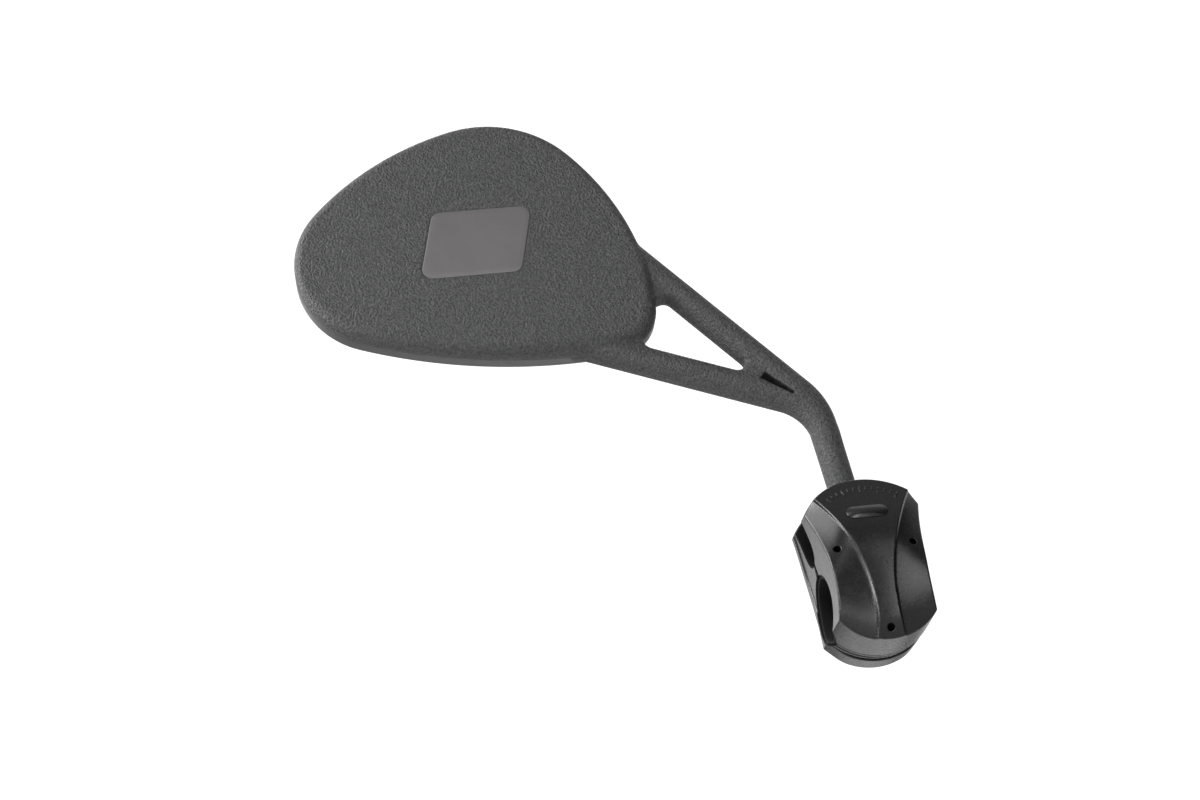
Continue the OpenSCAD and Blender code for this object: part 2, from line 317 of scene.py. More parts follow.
def new_object(name, points, faces, material, body, replaced=()):
    """Adds a smooth-shaded mesh, given in millimetres, as a piece that rides on a body."""
    mesh = bpy.data.meshes.new(name)
    mesh.from_pydata((np.asarray(points, float) * MM).tolist(), [], [list(map(int, f)) for f in faces])
    mesh.polygons.foreach_set("use_smooth", [True] * len(mesh.polygons))
    mesh.materials.append(material)
    mesh.update()
    piece = bpy.data.objects.new(name, mesh)
    bpy.context.scene.collection.objects.link(piece)
    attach(piece, body)
    if replaced:
        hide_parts(*replaced)
    return piece


def field_mesh(field, low, high, step):
    """Closed quad mesh of field's zero surface inside a box, in millimetres."""
    axes = [np.arange(a - 3 * step, b + 4 * step, step) for a, b in zip(low, high)]
    x, y, z = np.meshgrid(*axes, indexing="ij", sparse=True)
    band = 3 * step
    values = np.clip(field(x, y, z), -band, band).astype(np.float32)
    grid = openvdb.FloatGrid(band)
    grid.copyFromArray(values)
    points, quads = grid.convertToQuads(0.0)
    points = points.astype(float) * step + [a[0] for a in axes]
    return settle(points, field, step), quads


def settle(points, field, step):
    """Moves points onto the zero surface, so that curves are true and not stepped."""
    eps = 0.2 * step
    for _ in range(3):
        value = field(*points.T)
        slope = np.empty_like(points)
        for i in range(3):
            ahead, behind = points.copy(), points.copy()
            ahead[:, i] += eps
            behind[:, i] -= eps
            slope[:, i] = (field(*ahead.T) - field(*behind.T)) / (2 * eps)
        steep = np.maximum((slope**2).sum(1), 0.25)
        move = -(value / steep)[:, None] * slope
        size = np.linalg.norm(move, axis=1, keepdims=True)
        points = points + move * np.minimum(1.0, 0.4 * step / np.maximum(size, 1e-9))
    return points


def skin(rings, closed=False):
    """Quads between rings of equal length. Open skins are closed with a fan at each end."""
    count, n = len(rings), len(rings[0])
    points = [p for ring in rings for p in ring]
    faces = []
    for i in range(count if closed else count - 1):
        j = (i + 1) % count
        for k in range(n):
            m = (k + 1) % n
            faces.append((i * n + k, i * n + m, j * n + m, j * n + k))
    if not closed:
        for ring, start, flip in ((rings[0], 0, True), (rings[-1], (count - 1) * n, False)):
            hub = len(points)
            points.append(np.mean(ring, axis=0))
            for k in range(n):
                a, b = start + k, start + (k + 1) % n
                faces.append((b, a, hub) if flip else (a, b, hub))
    return np.array(points), faces


def arc_points(centre, r, a, b, n):
    t = np.linspace(a, b, n + 1)
    return [np.array([centre[0] + r * math.cos(s), centre[1] + r * math.sin(s)]) for s in t]


def head_ring(inset, y, per_arc=28):
    """The head's outline, moved inwards by inset, as a ring of points at depth y."""
    ring = []
    for i in range(3):
        c = HEAD_CORNERS[i]
        before, after = HEAD_EDGE_CENTRES[i - 1], HEAD_EDGE_CENTRES[i]
        nxt = HEAD_CORNERS[(i + 1) % 3]
        a = math.atan2(*(c - before)[::-1])
        b = a + (math.atan2(*(c - after)[::-1]) - a) % math.tau
        e = b + (math.atan2(*(nxt - after)[::-1]) - b) % math.tau
        ring += arc_points(c, HEAD_CORNER_R[i] - inset, a, b, per_arc)[:-1]
        ring += arc_points(after, HEAD_EDGE_R[i] - inset, b, e, per_arc)[:-1]
    return np.array([(p[0], y, p[1]) for p in ring])


def rounded_ring(corners, radius, inset, y, per_arc=10):
    """A convex polygon with rounded corners, moved inwards by inset, at depth y."""
    corners = np.array(corners, float)
    ring = []
    for i in range(len(corners)):
        p, c, q = corners[i - 1], corners[i], corners[(i + 1) % len(corners)]
        u, v = (c - p) / np.linalg.norm(c - p), (q - c) / np.linalg.norm(q - c)
        half = math.acos(np.clip(-u @ v, -1, 1)) / 2
        centre = c + (v - u) / np.linalg.norm(v - u) * radius / math.sin(half)
        a = math.atan2(-u[0], u[1])
        b = a + (math.atan2(-v[0], v[1]) - a) % math.tau
        ring += arc_points(centre, radius - inset, a, b, per_arc)
    return np.array([(p[0], y, p[1]) for p in ring])


def ring_y(x, z, r, y, n=64, sides=0):
    """A circle about an axis along Y, or a polygon with that many sides and inner radius r."""
    ring = []
    for k in range(n):
        t = math.tau * k / n
        size = r
        if sides:
            sector = math.tau / sides
            size = r / math.cos((t + sector / 2) % sector - sector / 2)
        ring.append((x + size * math.cos(t), y, z + size * math.sin(t)))
    return np.array(ring)


def merge(parts):
    """Joins several (points, faces) into one."""
    points, faces, base = [], [], 0
    for part_points, part_faces in parts:
        points.append(part_points)
        faces += [tuple(i + base for i in f) for f in part_faces]
        base += len(part_points)
    return np.vstack(points), faces


# ---------------------------------------------------------------- materials


class Nodes:
    """Small helper that adds and links shader nodes."""

    def __init__(self, material):
        material.use_nodes = True
        self.tree = material.node_tree
        self.tree.nodes.clear()
        self.coords = self.add("ShaderNodeTexCoord").outputs["Object"]

    def add(self, kind, **inputs):
        node = self.tree.nodes.new(kind)
        for key, value in inputs.items():
            self.set(node, key, value)
        return node

    def set(self, node, key, value):
        socket = node.inputs[key.replace("_", " ")] if isinstance(key, str) else node.inputs[key]
        if isinstance(value, bpy.types.NodeSocket):
            self.tree.links.new(value, socket)
        else:
            socket.default_value = value

    def noise(self, size_mm, detail=3.0, rough=0.55):
        node = self.add("ShaderNodeTexNoise", Scale=1 / (size_mm * MM), Detail=detail, Roughness=rough)
        self.set(node, "Vector", self.coords)
        return node.outputs["Fac"]

    def cells(self, size_mm):
        node = self.add("ShaderNodeTexVoronoi", Scale=1 / (size_mm * MM))
        node.feature = "SMOOTH_F1"
        self.set(node, "Vector", self.coords)
        return node.outputs["Distance"]

    def remap(self, value, low, high, to_low, to_high):
        node = self.add("ShaderNodeMapRange")
        for i, v in enumerate((value, low, high, to_low, to_high)):
            self.set(node, i, v)
        return node.outputs["Result"]

    def mix(self, factor, a, b):
        node = self.add("ShaderNodeMix")
        node.data_type = "RGBA"
        self.set(node, 0, factor)
        self.set(node, 6, a)
        self.set(node, 7, b)
        return node.outputs[2]

    def math(self, operation, a, b=0.0):
        node = self.add("ShaderNodeMath")
        node.operation = operation
        self.set(node, 0, a)
        self.set(node, 1, b)
        return node.outputs[0]

    def bump(self, height, strength, distance_mm, normal=None):
        node = self.add("ShaderNodeBump", Strength=strength, Distance=distance_mm * MM, Height=height)
        if normal is not None:
            self.set(node, "Normal", normal)
        return node.outputs["Normal"]

    def edge_wear(self):
        """About 1 on sharp outer edges and 0 elsewhere."""
        point = self.add("ShaderNodeNewGeometry").outputs["Pointiness"]
        return self.remap(point, 0.53, 0.62, 0.0, 1.0)

    def finish(self, **inputs):
        shader = self.add("ShaderNodeBsdfPrincipled", **inputs)
        out = self.add("ShaderNodeOutputMaterial")
        self.tree.links.new(shader.outputs[0], out.inputs[0])


def grey(value, tint=(1.0, 1.0, 1.0)):
    return (value * tint[0], value * tint[1], value * tint[2], 1.0)


def plastic(name, shade, rough, grain_mm=0.0, grain_depth=0.0, tint=(1.0, 1.0, 1.02), wear=0.25,
            shine=0.5):
    """Moulded plastic: mottled colour, uneven gloss, lighter edges, and an optional grain whose pits carry painted
    shade and whose raised tops carry painted highlight.
    """
    material = bpy.data.materials.new(name)
    n = Nodes(material)
    mottle = n.noise(9.0, 2.0)
    speck = n.noise(0.7, 2.0)
    base = n.mix(mottle, grey(shade * 0.86, tint), grey(shade * 1.14, tint))
    base = n.mix(n.remap(speck, 0.3, 0.7, 0.0, 0.35), base, grey(shade * 1.25, tint))
    base = n.mix(n.math("MULTIPLY", n.edge_wear(), wear), base, grey(shade * 2.2, tint))
    gloss = n.remap(n.noise(4.0, 4.0), 0.3, 0.7, rough * 0.9, rough * 1.12)
    normal = n.bump(n.noise(0.25, 2.0), 0.12, 0.02)
    if grain_mm:
        height = n.math("ADD", n.math("MULTIPLY", n.cells(grain_mm), 0.5), n.noise(grain_mm, 3.0, 0.6))
        raised = n.remap(height, 0.45, 0.95, 0.0, 1.0)
        # Painted shade darkens the grain's pits, and painted highlight lightens its raised tops
        pit_painted_shade = n.mix(0.62, base, grey(0.0))
        base = n.mix(raised, pit_painted_shade, n.mix(0.6, base, grey(shade * 2.0, tint)))
        normal = n.bump(height, 1.0, grain_depth, normal)
    n.finish(Base_Color=base, Roughness=gloss, Normal=normal, Specular_IOR_Level=shine)
    return material


def rubber(name, shade, sheen=0.5):
    material = bpy.data.materials.new(name)
    n = Nodes(material)
    base = n.mix(n.noise(3.0), grey(shade * 0.8), grey(shade * 1.3))
    normal = n.bump(n.noise(0.4, 5.0), 0.5, 0.04)
    gloss = n.remap(n.noise(1.5), 0.3, 0.7, 0.75, 0.92)
    n.finish(Base_Color=base, Roughness=gloss, Normal=normal, Specular_IOR_Level=sheen)
    return material


def metal(name, colour, rough, scratch_mm=0.5):
    material = bpy.data.materials.new(name)
    n = Nodes(material)
    dull = tuple(0.72 * c for c in colour) + (1.0,)
    base = n.mix(n.noise(1.2, 4.0), dull, tuple(colour) + (1.0,))
    gloss = n.remap(n.noise(scratch_mm, 5.0), 0.3, 0.7, rough * 0.8, rough * 1.3)
    normal = n.bump(n.noise(scratch_mm * 0.3, 3.0), 0.25, 0.01)
    n.finish(Base_Color=base, Metallic=1.0, Roughness=gloss, Normal=normal)
    return material


def mirror_coat():
    material = bpy.data.materials.new("mirror_glass")
    n = Nodes(material)
    base = n.mix(n.noise(40.0), (0.86, 0.89, 0.90, 1.0), (0.90, 0.92, 0.93, 1.0))
    gloss = n.remap(n.noise(6.0, 5.0), 0.45, 0.75, 0.012, 0.025)
    n.finish(Base_Color=base, Metallic=1.0, Roughness=gloss, Coat_Weight=0.6, Coat_Roughness=0.02)
    return material


GRAINED = plastic("grained_plastic", 0.048, 0.56, grain_mm=0.80, grain_depth=0.6)
# Lighter than the grained plastic: a painted highlight for the head's smooth rim band, which the glass frame
# shares
SMOOTH = plastic("smooth_plastic", 0.060, 0.44, shine=0.5)
INLAY = plastic("inlay_plastic", 0.108, 0.40, tint=(1.03, 0.98, 1.0), wear=0.1)
CLAMP = plastic("clamp_plastic", 0.008, 0.265, grain_mm=0.35, grain_depth=0.016)
ACETAL = plastic("acetal", 0.05, 0.38)
RUBBER = rubber("rubber", 0.012, sheen=0.15)
HOLLOW = rubber("clamp_inside", 0.008, sheen=0.12)
FOAM = rubber("foam", 0.04)
STEEL = metal("steel", (0.60, 0.60, 0.62), 0.32)
BRASS = metal("brass", (0.66, 0.48, 0.22), 0.30)
MIRROR = mirror_coat()


# ---------------------------------------------------------------- mirror head and arm

FORK = np.array([PIVOT[0], PIVOT[2]]) + STEM_LEN * STEM_UP[[0, 2]]
UP_DIR = np.array([-math.cos(UPPER_RISE), math.sin(UPPER_RISE)])
LOW_DIR = np.array([-math.cos(LOWER_RISE), math.sin(LOWER_RISE)])
# The upper strut's axis runs a little to the window's side of the fork
UPPER_FORK = FORK - np.array([0.26, 0.22])
UPPER_END = UPPER_FORK + UPPER_LEN * UP_DIR
LOWER_END = FORK + LOWER_LEN * LOW_DIR
WEB_REACH = -74.0
STEM_FOOT = FORK - (STEM_LEN - SHOULDER - STEM_R) * STEM_UP[[0, 2]]
INLAY_CORNERS = ((-146.0, 142.0), (-108.0, 142.0), (-101.0, 170.0), (-139.0, 170.0))
INLAY_ROUND = 4.0
INLAY_DEPTH = 0.35
INLAY_RADII = (INLAY_ROUND,) * 4
# Tapered blind pocket in the fork's front
POCKET_CORNERS = ((-25.8, 90.2), (-14.7, 82.3), (-13.9, 83.2), (-23.5, 92.8))
POCKET_RADII = (0.4, 0.45, 0.45, 0.4)
POCKET_DEPTH = 5.5
# Outline, inside the struts' thickness, of the web that rounds the window's three corners
WINDOW_LINES = (((0.7565, 0.654), 43.4), ((-0.906, 0.423), 108.0), ((-0.3755, -0.9268), -74.5))
WINDOW_RADII = (6.0, 6.2, 4.4)


def line_crossing(first, second):
    """Point where two lines, each given by a normal and a distance, cross."""
    return np.linalg.solve(np.array([first[0], second[0]]), np.array([first[1], second[1]]))


WINDOW_CORNERS = [line_crossing(WINDOW_LINES[i], WINDOW_LINES[(i + 1) % 3]) for i in range(3)]


def stem_axes(x, y, z):
    """Height up the stem from the ball's centre, and distance from the stem's axis."""
    dx, dy, dz = x - PIVOT[0], y - PIVOT[1], z - PIVOT[2]
    height = dx * STEM_UP[0] + dz * STEM_UP[2]
    side = dx * STEM_UP[2] - dz * STEM_UP[0]
    return height, np.hypot(side, dy)


def arm_field(x, y, z):
    """The two struts, the web between them, the bends and the stem."""
    across = y - ARM_Y
    upper = np.hypot(bent_path_distance(x, z, UPPER_END, UPPER_FORK, STEM_FOOT, UPPER_BEND_R), across)
    lower = np.hypot(bent_path_distance(x, z, LOWER_END, FORK, STEM_FOOT, LOWER_BEND_R), across)
    blend = FORK_BLEND[0] + FORK_BLEND[1] * smooth_step((z - FORK[1] + FORK_FADE_LOW) / FORK_FADE)
    upper -= UPPER_R + (STEM_R - UPPER_R) * smooth_step((TAPER_TOP_Z - z) / TAPER_LEN)
    lower -= LOWER_R + (STEM_R - LOWER_R) * smooth_step((FORK[1] - z) / LOWER_TAPER_LEN)
    out = smooth_min(upper, lower, blend)
    px, pz = x - FORK[0], z - FORK[1]
    over = -(px * UP_DIR[1] - pz * UP_DIR[0])
    under = px * LOW_DIR[1] - pz * LOW_DIR[0]
    wedge = np.maximum(np.maximum(-over, -under), WEB_REACH - x)
    window = rounded_polygon(x, z, WINDOW_CORNERS, WINDOW_RADII)
    web = rounded_max(np.maximum(wedge, -window), np.abs(across) - WEB_HALF, WEB_ROUND)
    out = smooth_min(out, web, JOIN_BLEND)
    pocket = rounded_polygon(x, z, POCKET_CORNERS, POCKET_RADII)
    pocket = np.maximum(pocket, across + WEB_HALF - POCKET_DEPTH)
    return smooth_max(out, -pocket, EDGE_R)


def arm_shell_field(x, y, z):
    """The whole moulding: head, arm, shoulder and spigot, less its hollows."""
    edge = head_distance(x, z)
    low = (LOW_ROUND_START_Z - z) / LOW_ROUND_FADE
    rounding = HEAD_ROUND + (HEAD_LOW_ROUND - HEAD_ROUND) * smooth_step(low)
    head = rounded_max(edge, HEAD_BACK - y, rounding)
    head = smooth_max(head, y - (HEAD_FRONT - FRAME_T), EDGE_R)
    out = smooth_min(head, arm_field(x, y, z), JOIN_BLEND)
    height, radius = stem_axes(x, y, z)
    stem = rounded_max(radius - STEM_R, SHOULDER - height, SHOULDER_ROUND)
    out = np.where(z < PIVOT[2] + 20, stem, out)
    spigot = np.maximum(np.maximum(radius - SPIGOT_R, -SPIGOT_END - height), height - SHOULDER - 2)
    out = np.minimum(out, spigot)
    out = np.maximum(out, -np.maximum(radius - STEM_SCREW_R, height - SHOULDER - 3))
    out = np.maximum(out, -np.maximum(edge - 0.5, HEAD_FRONT - FRAME_T - y))
    hollow = np.maximum(edge + HEAD_WALL, HEAD_BACK + HEAD_WALL - y)
    out = np.maximum(out, -hollow)
    seat = np.maximum(rounded_polygon(x, z, INLAY_CORNERS, INLAY_RADII), y - (HEAD_BACK + INLAY_DEPTH))
    return smooth_max(out, -seat, 0.15)


def make_arm_shell():
    low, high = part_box("arm_shell")
    low, high = np.array(low) / MM, np.array(high) / MM
    points, faces = field_mesh(arm_shell_field, low, high, 0.5)
    piece = new_object("head_and_arm", points, faces, GRAINED, "arm", ["arm_shell"])
    smooth_band(piece, points, np.array(faces))


def smooth_band(piece, points, faces):
    """The mirror-side part of the head's wall is smooth, with a lighter colour that is painted highlight, and the
    rest of the moulding is grained.
    """
    x, y, z = points[faces].mean(axis=1).T
    on_wall = (head_distance(x, z) > -1.0) & (arm_field(x, y, z) > 0.8) & (y > BAND_START)
    piece.data.materials.append(SMOOTH)
    piece.data.polygons.foreach_set("material_index", on_wall.astype(np.int32))


def make_inlay():
    """Smooth panel with a softened edge, set a little proud of the grained back."""
    top = HEAD_BACK - 0.12
    floor = HEAD_BACK + INLAY_DEPTH - 0.02
    rings = [rounded_ring(INLAY_CORNERS, INLAY_ROUND, 0.05, floor)]
    for t in np.linspace(0, math.pi / 2, 5):
        rings.append(rounded_ring(INLAY_CORNERS, INLAY_ROUND, 0.05 + 0.25 * (1 - math.cos(t)),
                                  top + 0.25 * (1 - math.sin(t))))
    rings.append(rounded_ring(INLAY_CORNERS, INLAY_ROUND, 2.5, top - 0.01))
    points, faces = skin(rings)
    new_object("back_panel", points, faces, INLAY, "arm", ["back_inlay"])


def glass_drop(x, z):
    return ((x - HEAD_MID[0]) ** 2 + (z - HEAD_MID[1]) ** 2) / (2 * GLASS_CURVE_R)


def make_glass():
    """Convex glass with ground edges."""
    inset, bevel = HEAD_WALL + 1.1, 0.35
    edge = head_ring(inset, 0.0)
    inner = head_ring(inset + bevel, 0.0)
    rings = []

    def ring(base, scale, depth):
        r = base.copy()
        r[:, 0] = HEAD_MID[0] + (base[:, 0] - HEAD_MID[0]) * scale
        r[:, 2] = HEAD_MID[1] + (base[:, 2] - HEAD_MID[1]) * scale
        r[:, 1] = GLASS_TOP - depth - glass_drop(r[:, 0], r[:, 2])
        return r

    scales = np.linspace(0.015, 1.0, 66)
    rings += [ring(inner, s, GLASS_T) for s in scales]
    rings += [ring(edge, 1.0, GLASS_T - bevel), ring(edge, 1.0, bevel)]
    rings += [ring(inner, s, 0.0) for s in scales[::-1]]
    points, faces = skin(rings)
    new_object("convex_mirror", points, faces, MIRROR, "arm", ["mirror_glass"])


def make_front_frame():
    """Ring round the glass: a rounded flange over the wall's end, and a skirt inside it."""
    lip, skirt_in, skirt_out = 4.2, HEAD_WALL + 0.92, HEAD_WALL + 0.02
    back, front = HEAD_FRONT - FRAME_T + 0.02, HEAD_FRONT
    profile = [(skirt_out, back - 3.6), (skirt_out, back), (0.25, back), (0.2, back + 0.1)]
    profile += [(0.2 + 0.5 * (1 - math.cos(t)), front - 0.5 * (1 - math.sin(t)))
                for t in np.linspace(0, math.pi / 2, 6)]
    profile += [(lip - 0.9 * math.cos(t), front - 0.9 * (1 - math.sin(t)) * 0.8)
                for t in np.linspace(math.pi / 2, 0, 6)]
    profile += [(lip, back + 0.05), (skirt_in, back), (skirt_in, back - 3.6)]
    rings = [head_ring(inset, y) for inset, y in profile]
    points, faces = skin(rings, closed=True)
    new_object("glass_frame", points, faces, SMOOTH, "arm", ["front_frame"])


# ---------------------------------------------------------------- clamp


def clamp_outline_distance(x, z):
    """Distance from the clamp's outline seen from the front: top, lower and side arcs."""
    side_x, side_z, side_r = SIDE_ARC
    top = np.where(z > TOP_ARC[0], np.hypot(x, z - TOP_ARC[0]), np.abs(x)) - TOP_ARC[1]
    low = np.where(z < LOW_ARC[0], np.hypot(x, z - LOW_ARC[0]), np.abs(x)) - LOW_ARC[1]
    side = side_r - np.hypot(np.abs(x) - side_x, z - side_z)
    return smooth_max(smooth_max(top, side, 0.15), low, 0.3)


def side_half_width(z):
    side_x, side_z, side_r = SIDE_ARC
    return side_x - np.sqrt(side_r**2 - (z - side_z) ** 2)


def ridge_half_width(z):
    """Half the width of the raised ridge, which flares towards the top."""
    return RIDGE_NECK_HALF + RIDGE_FLARE * (z - RIDGE_NECK_Z) ** 2


def front_face(x, z):
    """Depth of the front shell's face: a dished ridge, with hollow cheeks beside it.

    The face folds back above one knee and below another, and on the cheeks both knees run
    towards the middle of the face.
    """
    half, wide = ridge_half_width(z), side_half_width(z)
    t = np.clip((np.abs(x) - half) / np.maximum(wide - half, 1.0), 0.0, 1.3)
    dish = RIDGE_DISH * np.minimum(np.abs(x) / half, 1.0) ** 2
    ridge = FACE_Y - dish + fold(z, TOP_KNEE, *RIDGE_TOP_FOLD) + fold(-z, LOW_KNEE, *RIDGE_LOW_FOLD)
    cheek = FACE_Y + CREASE_DEPTH - (CREASE_DEPTH + CHEEK_RISE) * t**CHEEK_BOW
    cheek = cheek + fold(z, TOP_KNEE - CHEEK_TOP_RUN * t, *CHEEK_TOP_FOLD)
    low_slope = CHEEK_LOW_SLOPE[0] + CHEEK_LOW_SLOPE[1] * t
    cheek = cheek + fold(-z, LOW_KNEE - CHEEK_LOW_RUN * t, low_slope, CHEEK_LOW_SOFT)
    on_ridge = np.clip((half + CREASE_OUT - np.abs(x)) / CREASE_W, 0.0, 1.0)
    return cheek + (ridge - cheek) * on_ridge


def rear_face(x, z):
    """Depth of the rear shell's face, which leans both ways from its thickest place."""
    upper_knee, lower_knee = REAR_LEAN_KNEES
    lean = REAR_LEAN * (hinge(-z, *upper_knee) - hinge(-z, *lower_knee))
    spine = REAR_Y - lean - REAR_TOP_LEAN * hinge(z, *REAR_TOP_KNEE)
    t = np.abs(x) / side_half_width(z)
    return spine - REAR_CROWN * np.minimum(t, 1.3) ** REAR_CROWN_BOW


def clamp_hollows(x, y, z):
    """Handlebar bore, ball seat and arm slot, as the space that they take."""
    bore = np.hypot(y, z) - (BAR_R + LINER_T + 0.02)
    reach = np.sqrt((x - PIVOT[0]) ** 2 + (y - PIVOT[1]) ** 2 + (z - PIVOT[2]) ** 2)
    ball = reach - BALL_SEAT_R - 0.05
    slot = np.hypot(y - PIVOT[1], np.minimum(z - PIVOT[2], 0.0)) - SLOT_HALF
    return np.minimum(np.minimum(bore, ball), slot)


def holes(x, z, r):
    out = np.inf
    for sx, sz in SCREWS:
        out = np.minimum(out, np.hypot(x - sx, z - sz) - r)
    return out


def groove(y, wall, depth, half, z):
    """Round-bottomed groove along the clamp's lower wall, as the space that it takes."""
    return np.maximum(np.hypot(y - depth, wall) - half, z - LINES_TOP_Z)


def side_gap(y, wall, z):
    """The parting gap opens towards the handlebar bore on the clamp's side walls."""
    half = GAP_HALF + GAP_FLARE * np.clip(GAP_FLARE_Z - z, 0.0, 6.0)
    return np.maximum(np.maximum(np.abs(y - SPLIT_Y) - half, -GAP_DEPTH - wall), GAP_LOW_Z - z)


def front_skin(x, y, z):
    """Distances from the front shell's outer wall and from its face."""
    wall = clamp_outline_distance(x, z) - FRONT_DRAFT * (y - FRONT_END_Y)
    return wall, (front_face(x, z) - y) * FACE_STEEPNESS


def front_shell_field(x, y, z):
    wall, face = front_skin(x, y, z)
    out = smooth_max(wall, face, FRONT_FILLET)
    lip = np.maximum(np.maximum(wall, -LIP_DEPTH - wall), np.maximum(LIP_Y - y, z - LINES_TOP_Z))
    out = np.maximum(out, -lip)
    edge_round = EDGE_R + PARTING_ROUND * smooth_step((z + PARTING_ROUND_Z) / PARTING_ROUND_FADE)
    out = smooth_max(out, y - (SPLIT_Y - SPLIT_GAP / 2), edge_round)
    out = smooth_max(out, -side_gap(y, wall, z), EDGE_R)
    out = smooth_max(out, -clamp_hollows(x, y, z), HOLLOW_EDGE)
    out = smooth_max(out, -holes(x, z, TIP_HOLE_R), HOLE_EDGE)
    insert = np.maximum(holes(x, z, INSERT_R), (SPLIT_Y - SPLIT_GAP / 2 - INSERT_DEPTH) - y)
    return np.maximum(out, -insert)


def rear_skin(x, y, z):
    """Distances from the rear shell's outer wall and from its face."""
    past_line = smooth_step((y - LINE_Y + STEP_W / 2) / STEP_W)
    low_swell = LOW_BAND_SWELL * smooth_step((-12 - z) / 5) * past_line
    swell = REAR_SWELL - REAR_SWELL_LOSS * smooth_step((4 - z) / 8)
    back = y - rear_face(x, z)
    rim = REAR_STEP * smooth_step((back + STEP_BACK) / STEP_W) * smooth_step((z + 12) / 8)
    return clamp_outline_distance(x, z) - swell - low_swell - rim, back * REAR_STEEPNESS


def rear_shell_field(x, y, z):
    wall, face = rear_skin(x, y, z)
    out = smooth_max(wall, face, REAR_FILLET)
    out = smooth_max(out, (SPLIT_Y + SPLIT_GAP / 2) - y, EDGE_R)
    out = smooth_max(out, -side_gap(y, wall, z), EDGE_R)
    taper = WEDGE_HALF * np.clip((6.0 - x) / 10.0, 0.0, 1.0)
    out = np.maximum(out, -groove(y, wall, WEDGE_Y, taper, z))
    out = np.maximum(out, -groove(y, wall, LINE_Y, LINE_HALF, z))
    out = smooth_max(out, -clamp_hollows(x, y, z), HOLLOW_EDGE)
    out = smooth_max(out, -holes(x, z, CLEARANCE_R), HOLE_EDGE)
    counterbore = np.maximum(holes(x, z, HEAD_BORE_R), HEAD_SEAT_Y - y)
    return smooth_max(out, -counterbore, HOLLOW_EDGE)


def liner_field(x, y, z):
    radius = np.hypot(y, z)
    tube = smooth_max(radius - (BAR_R + LINER_T), BAR_R - radius, EDGE_R)
    return smooth_max(tube, clamp_outline_distance(x, z) + 0.1, 0.5)


def front_liner_field(x, y, z):
    return smooth_max(liner_field(x, y, z), y - (SPLIT_Y - SPLIT_GAP / 2), EDGE_R)


def rear_liner_field(x, y, z):
    return smooth_max(liner_field(x, y, z), (SPLIT_Y + SPLIT_GAP / 2) - y, EDGE_R)


def make_clamp():
    jobs = (
        ("clamp_front", front_shell_field, "front_shell", 0.24, CLAMP, "front_clamp", "clamp_plastic"),
        ("clamp_rear", rear_shell_field, "rear_shell", 0.28, CLAMP, "rear_clamp", "clamp_plastic"),
        ("liner_front", front_liner_field, "front_bar_liner", 0.3, RUBBER, "front_clamp", "rubber"),
        ("liner_rear", rear_liner_field, "rear_bar_liner", 0.3, RUBBER, "rear_clamp", "rubber"),
    )
    for name, field, node, step, material, body, slot in jobs:
        low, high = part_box(node)
        points, faces = field_mesh(field, np.array(low) / MM - 1, np.array(high) / MM + 1, step)
        piece = new_object(name, points, faces, material, body, [node])
        # Faces in the hollows, and those well behind the outer skin, are dull and dark
        if material is CLAMP:
            centres = points[np.array(faces)].mean(axis=1).T
            skin_distances = (front_skin if node == "front_shell" else rear_skin)(*centres)
            inside = (clamp_hollows(*centres) < 0.5) | (np.maximum(*skin_distances) < -INNER_DEPTH)
            piece.data.materials.append(HOLLOW)
            piece.data.polygons.foreach_set("material_index", inside.astype(np.int32))


def make_screws():
    """Socket-head screws and their washers."""
    head_y = HEAD_SEAT_Y + 0.54
    screw_parts, washer_parts = [], []
    for x, z in SCREWS:
        rings = [ring_y(x, z, r, y) for r, y in ((1.1, -9.0), (1.45, -8.6), (1.45, head_y), (2.6, head_y),
                                                 (2.75, head_y + 0.15), (2.75, head_y + 2.7))]
        rings += [ring_y(x, z, 2.45 + 0.3 * math.cos(t), head_y + 2.7 + 0.3 * math.sin(t))
                  for t in (0.5, 1.0, 1.5)]
        rings += [ring_y(x, z, 1.6, head_y + 3.0), ring_y(x, z, 1.3, head_y + 2.9, sides=6)]
        rings += [ring_y(x, z, 1.25, head_y + 2.75, sides=6), ring_y(x, z, 1.25, head_y + 1.3, sides=6)]
        rings += [ring_y(x, z, 0.5, head_y + 1.0)]
        screw_parts.append(skin([r[::-1] for r in rings]))
        seat = HEAD_SEAT_Y + 0.02
        profile = ((1.6, seat + 0.05), (1.65, seat), (2.9, seat), (3.0, seat + 0.1), (3.0, seat + 0.4),
                   (2.9, seat + 0.5), (1.65, seat + 0.5), (1.6, seat + 0.45))
        washer_parts.append(skin([ring_y(x, z, r, y)[::-1] for r, y in profile], closed=True))
    points, faces = merge(screw_parts)
    new_object("socket_screws", points, faces, STEEL, "rear_clamp", ["clamp_screws"])
    points, faces = merge(washer_parts)
    new_object("washers", points, faces, STEEL, "rear_clamp", ["screw_washers"])


def raised_mark(outline, height=0.22, bevel=0.12):
    """Low raised mark on the front shell's ridge, with its outline given in [x, z]."""
    outline = np.array(outline, float)
    middle = outline.mean(axis=0)
    reach = np.linalg.norm(outline - middle, axis=1, keepdims=True)
    inner = outline + (middle - outline) * np.minimum(bevel / reach, 0.4)

    def ring(flat, lift):
        return np.array([(a, float(front_face(a, b)) - lift, b) for a, b in flat])

    return skin([ring(outline, -0.3), ring(outline, height - bevel), ring(inner, height)])


def bar_outline(x, z, angle, length, width):
    """Round-ended bar, centred at [x, z] and turned to an angle in radians."""
    along = np.array([math.cos(angle), math.sin(angle)])
    across = np.array([-along[1], along[0]])
    half = length / 2 - width / 2
    points = []
    for end, start in ((1, -math.pi / 2), (-1, math.pi / 2)):
        for k in range(7):
            t = start + math.pi * k / 6
            points.append(np.array([x, z]) + along * (end * half + width / 2 * math.cos(t))
                          + across * width / 2 * math.sin(t))
    return points


